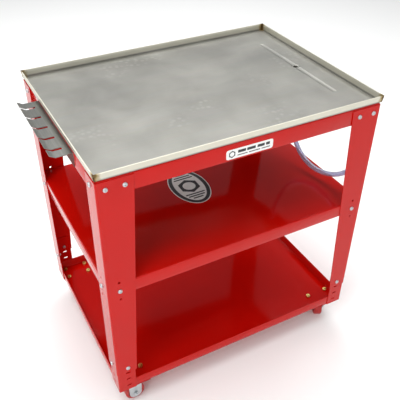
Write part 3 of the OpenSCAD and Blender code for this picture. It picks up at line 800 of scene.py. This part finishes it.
def copies(pattern, spots):
    """copies of a pattern piece, moved from the origin to each spot with z turned to its direction"""
    made = []
    for spot, way in spots:
        turn = Vector((0, 0, 1)).rotation_difference(way).to_matrix().to_4x4()
        copy = bpy.data.objects.new(pattern.name, pattern.data.copy())
        copy.data.transform(Matrix.Translation(spot) @ turn)
        bpy.context.scene.collection.objects.link(copy)
        made.append(copy)
    bpy.data.objects.remove(pattern)
    return made


def outward(low, high, axis):
    """the direction along an axis that leads away from the cart's middle"""
    way = Vector((0, 0, 0))
    way[axis] = math.copysign(1, (low[axis] + high[axis]) / 2 - (middle_x, 0, 0)[axis])
    return way


def side_bolts(node, name, head_radius, head_height, shank_radius):
    """bolts whose heads stand on the outside of the frame"""
    spots = []
    for low, high in solids(node):
        size = high - low
        axis = 0 if size.x > size.y else 1
        way = outward(low, high, axis)
        length = size[axis]
        spots.append(((low + high) / 2 + way * (length / 2 - head_height), way))
    bolts = join(copies(button_bolt(head_radius, head_height, shank_radius, length), spots))
    smooth(bolts)
    hand_over(bolts, name, bright_zinc, "zinc_plated_steel", node)


def side_nuts(node, name, radius, hole_radius):
    """nuts inside the frame"""
    spots = []
    for low, high in solids(node):
        size = high - low
        axis = 0 if size.x < size.y else 1
        way = outward(low, high, axis)
        height = size[axis]
        spots.append(((low + high) / 2 - way * height / 2, way))
    nuts = join(copies(hex_nut(radius, height, hole_radius), spots))
    smooth(nuts)
    hand_over(nuts, name, bright_zinc, "zinc_plated_steel", node)


head_height = 4.5 * mm
frame_bolt_radius = 3 * mm
for family in ("apron", "shelf", "foot"):
    side_bolts(family + "_bolts", family + "_button_bolts", 6.5 * mm, head_height, frame_bolt_radius)
    side_nuts(family + "_nuts", family + "_hex_nuts", 5.8 * mm, frame_bolt_radius)

# the caster bolts point up through the plate and the shelf, with their nuts on the shelf
up = Vector((0, 0, 1))
caster_bolt_radius = 4 * mm
caster_bolt_boxes = solids("caster_bolts")
caster_nut_boxes = solids("caster_nuts")
bolt_length = caster_bolt_boxes[0][1].z - caster_bolt_boxes[0][0].z
bolt_spots = [
    (Vector(((low.x + high.x) / 2, (low.y + high.y) / 2, low.z + head_height)), -up)
    for low, high in caster_bolt_boxes
]
nut_spots = [
    (Vector(((low.x + high.x) / 2, (low.y + high.y) / 2, low.z)), up) for low, high in caster_nut_boxes
]
nut_height = caster_nut_boxes[0][1].z - caster_nut_boxes[0][0].z
plate_bolts = join(
    copies(button_bolt(7 * mm, head_height, caster_bolt_radius, bolt_length), bolt_spots)
)
smooth(plate_bolts)
hand_over(plate_bolts, "caster_button_bolts", yellow_zinc, "yellow_zinc_steel", "caster_bolts")
plate_nuts = join(copies(hex_nut(7.5 * mm, nut_height, caster_bolt_radius), nut_spots))
smooth(plate_nuts)
hand_over(plate_nuts, "caster_hex_nuts", yellow_zinc, "yellow_zinc_steel", "caster_nuts")

softened("rack_screws", "rack_pan_screws", bright_zinc, "zinc_plated_steel", 0.2 * mm)
softened("clip_screw", "clip_pan_screw", bright_zinc, "zinc_plated_steel", 0.2 * mm)

# ---------- casters ----------
# Pressed and zinc-plated forks on bolted plates, rigid at the left and swivelling on a ring of balls at the
# right. The wheels are moulded red polyurethane on steel bushings and turn on bolts through the forks.
for corner in ("front_left", "rear_left"):
    node = "caster_frame_" + corner
    softened(node, node + "_pressed", bright_zinc, "zinc_plated_steel", 0.6 * mm)
for corner in ("front_right", "rear_right"):
    node = "swivel_plate_" + corner
    softened(node, node + "_pressed", bright_zinc, "zinc_plated_steel", 0.5 * mm)
    node = "swivel_fork_" + corner
    softened(node, node + "_pressed", bright_zinc, "zinc_plated_steel", 0.6 * mm, body="swivel_" + corner)

# moulded polyurethane: a satin, slightly waxy red, scuffed by the floor on its tread
red_polyurethane, tree, shader, place = begin_finish("moulded_red_polyurethane", IOR=1.5)
floor_dirt = add(tree, "TexNoise", {"Vector": place, "Scale": per_metre(11.1), "Detail": 4})
wheel_tone = add(
    tree,
    "Mix",
    {"Factor": floor_dirt.outputs["Fac"], colour_a: linear("#8E100C"), colour_b: linear("#C41A15")},
    data_type="RGBA",
)
link(tree, wheel_tone.outputs[mixture], shader, "Base Color")
satin = add(tree, "MapRange", {"Value": floor_dirt.outputs["Fac"], "To Min": 0.28, "To Max": 0.5})
link(tree, satin.outputs["Result"], shader, "Roughness")


def moulded_wheel(radius, width):
    """a wheel along z: a rounded tread, a dished web with ribs and a bored boss on each side"""
    tread_rounding = 5 * mm
    lip_width = 4 * mm
    dish_slope, dish_depth = 1.2 * mm, 5 * mm
    web_width = 10.8 * mm
    boss_slope, boss_height = 0.6 * mm, 5.8 * mm
    boss_wall = 3.9 * mm  # leaves a bore of 6 mm radius for the bushing
    rib_size = (12 * mm, 2.4 * mm, 4 * mm)
    rib_edge = 0.5 * mm
    rib_radius = 15.2 * mm  # from the axle to the rib's middle
    rib_depth = 3.2 * mm
    rib_count = 6
    wheel = rod(radius, -width / 2, width / 2, sides=64)
    edit_mode()
    choose("edges", lambda e: near(e.verts[0].co.z, e.verts[1].co.z))
    bpy.ops.mesh.bevel(offset=tread_rounding, segments=5, affect="EDGES")
    for side in (-1, 1):
        choose("faces", lambda f: near(middle(f).z, side * width / 2, 0.01 * mm) and f.normal.z * side > 0.99)
        bpy.ops.mesh.inset(thickness=lip_width)
        bpy.ops.mesh.inset(thickness=dish_slope)
        bpy.ops.transform.translate(value=(0, 0, -side * dish_depth))
        bpy.ops.mesh.inset(thickness=web_width)
        bpy.ops.mesh.inset(thickness=boss_slope)
        bpy.ops.transform.translate(value=(0, 0, side * boss_height))
        bpy.ops.mesh.inset(thickness=boss_wall)
        bpy.ops.mesh.delete(type="FACE")
    choose("edges", lambda e: len(e.link_faces) == 1)
    bpy.ops.mesh.bridge_edge_loops()
    object_mode()
    ribs = []
    for spoke in range(rib_count):
        for side in (-1, 1):
            turn = spoke * 2 * math.pi / rib_count
            rib_middle = Vector((math.cos(turn), math.sin(turn), 0)) * rib_radius
            rib_middle.z = side * (width / 2 - rib_depth)
            rib = begin(bpy.ops.mesh.primitive_cube_add, (0, 0, 0), rib_size, size=1)
            apply(rib, "BEVEL", width=rib_edge, segments=2)
            rib.data.transform(Matrix.Translation(rib_middle) @ Matrix.Rotation(turn, 4, "Z"))
            ribs.append(rib)
    return join([wheel] + ribs)


roll_joints = {j["child"]: j for j in frame["joints"] if j["child"].startswith("roller_")}
wheel_low, wheel_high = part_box("wheel_front_left")
wheel_radius = (wheel_high.z - wheel_low.z) / 2
wheel_width = 27 * mm
wheel_spots = [
    (Vector(roll_joints["roller_" + corner]["pos_m"]), Vector(roll_joints["roller_" + corner]["axis"]))
    for corner in corners
]
for corner, wheel in zip(corners, copies(moulded_wheel(wheel_radius, wheel_width), wheel_spots)):
    smooth(wheel)
    hand_over(
        wheel,
        "wheel_" + corner + "_moulded",
        red_polyurethane,
        "red_polyurethane",
        "wheel_" + corner,
        body="roller_" + corner,
    )


def plate(node, material):
    """gives a CAD node that keeps its own shape its finish"""
    for slot in frame["nodes"][node].material_slots:
        slot.material = material


for corner in corners:
    holder = "cart" if "left" in corner else "swivel_" + corner
    softened("axle_" + corner, "axle_bolt_" + corner, bright_zinc, "zinc_plated_steel", cut_edge, body=holder)
    plate("bushing_" + corner, bright_zinc)
for corner in ("front_right", "rear_right"):
    plate("kingpin_" + corner, bright_zinc)
    plate("bearing_balls_" + corner, bright_zinc)

# ---------- printed plate and decal ----------
# A white plate stuck to the front apron and an oval vinyl decal on the middle shelf, both printed in
# black: a hexagon nut as the sign, and plain bars where a maker would have put words.

# white vinyl film: satin, not quite even
white_film, tree, shader, place = begin_finish("white_vinyl_film", IOR=1.5)
print_bed = add(tree, "TexNoise", {"Vector": place, "Scale": per_metre(7.14), "Detail": 2})
film_white = add(
    tree,
    "Mix",
    {"Factor": print_bed.outputs["Fac"], colour_a: linear("#DEDEDC"), colour_b: linear("#F2F2F0")},
    data_type="RGBA",
)
link(tree, film_white.outputs[mixture], shader, "Base Color")
film_satin = add(tree, "MapRange", {"Value": print_bed.outputs["Fac"], "To Min": 0.25, "To Max": 0.4})
link(tree, film_satin.outputs["Result"], shader, "Roughness")

# screen-printed ink: black with a slight blue cast, a little thin in places
black_ink, tree, shader, place = begin_finish("screen_printed_ink", IOR=1.5)
ink_cover = add(tree, "TexNoise", {"Vector": place, "Scale": per_metre(2), "Detail": 2})
ink_tone = add(
    tree,
    "Mix",
    {"Factor": ink_cover.outputs["Fac"], colour_a: linear("#101216"), colour_b: linear("#2A2D33")},
    data_type="RGBA",
)
link(tree, ink_tone.outputs[mixture], shader, "Base Color")
ink_gloss = add(tree, "MapRange", {"Value": ink_cover.outputs["Fac"], "To Min": 0.3, "To Max": 0.5})
link(tree, ink_gloss.outputs["Result"], shader, "Roughness")


def ring(half_x, half_y, band, low_z, high_z, sides=64):
    """a thin elliptical ring, or a hexagonal one"""
    outer = rod(half_x, low_z, high_z, sides, half_y)
    cut(outer, rod(half_x - band, low_z - mm, high_z + mm, sides=64, half_y=half_y - band))
    return outer


def bar(x, y, width, height, low_z, high_z):
    """a printed bar with softened corners"""
    corner_radius = 0.2 * min(width, height)
    printed = begin(
        bpy.ops.mesh.primitive_cube_add, (x, y, (low_z + high_z) / 2), (width, height, high_z - low_z), size=1
    )
    edit_mode()
    choose("edges", lambda e: not near(e.verts[0].co.z, e.verts[1].co.z, 0.001 * mm))
    bpy.ops.mesh.bevel(offset=corner_radius, segments=2, affect="EDGES")
    object_mode()
    return printed


plate_low, plate_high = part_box("data_plate")
plate_size = plate_high - plate_low
plate_depth = plate_size.y
ink_rise = 0.1 * mm
ink_hold = 0.05 * mm  # how deep the print reaches into the film
film_top = plate_depth - ink_rise
plate_turn = Matrix.Translation(
    Vector(((plate_low.x + plate_high.x) / 2, plate_high.y, (plate_low.z + plate_high.z) / 2))
) @ Matrix.Rotation(math.pi / 2, 4, "X")
backing = bar(0, 0, plate_size.x, plate_size.z, 0, film_top)
backing.data.transform(plate_turn)
smooth(backing)
hand_over(backing, "data_plate_film", white_film, "white_label", "data_plate")
ink = (film_top - ink_hold, plate_depth)

# the sign at the left, then two rows of bars, each with the x of its middle and its width in millimetres
sign_x, sign_radius, sign_band = -53 * mm, 10.5 * mm, 4 * mm
marks = [ring(sign_radius, sign_radius, sign_band, *ink, sides=6)]
marks[0].data.transform(Matrix.Translation((sign_x, 0, 0)))
upper_row, upper_height = 4 * mm, 8 * mm
for x, width in ((-24, 24), (4, 26), (33, 22), (54, 12)):
    marks.append(bar(x * mm, upper_row, width * mm, upper_height, *ink))
lower_row, lower_height = -6.5 * mm, 2.6 * mm
for x, width in ((-22, 30), (14, 34), (48, 26)):
    marks.append(bar(x * mm, lower_row, width * mm, lower_height, *ink))
plate_print = join(marks)
plate_print.data.transform(plate_turn)
hand_over(plate_print, "data_plate_print", black_ink, "white_label")

decal_place = Matrix.Translation(Vector((middle_x - 23 * mm, 4 * mm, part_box("mid_shelf")[1].z)))
decal_thickness = 0.15 * mm
decal_film = rod(62 * mm, 0, decal_thickness, sides=64, half_y=97 * mm)
decal_film.data.transform(decal_place)
smooth(decal_film)
hand_over(decal_film, "shelf_decal_film", white_film, "white_label")
decal_ink = (decal_thickness - ink_hold, decal_thickness + 0.07 * mm)

# the rim, the sign, and three bars at each end, each with the y of its middle and its width in millimetres
decal_marks = [
    ring(59 * mm, 94 * mm, 12 * mm, *decal_ink),
    ring(36 * mm, 36 * mm, 15 * mm, *decal_ink, sides=6),
]
decal_bar_height = 5.5 * mm
for y, width in ((-66, 34), (-55, 56), (-44, 66), (44, 66), (55, 56), (66, 34)):
    decal_marks.append(bar(0, y * mm, width * mm, decal_bar_height, *decal_ink))
decal_print = join(decal_marks)
decal_print.data.transform(decal_place)
hand_over(decal_print, "shelf_decal_print", black_ink, "white_label")
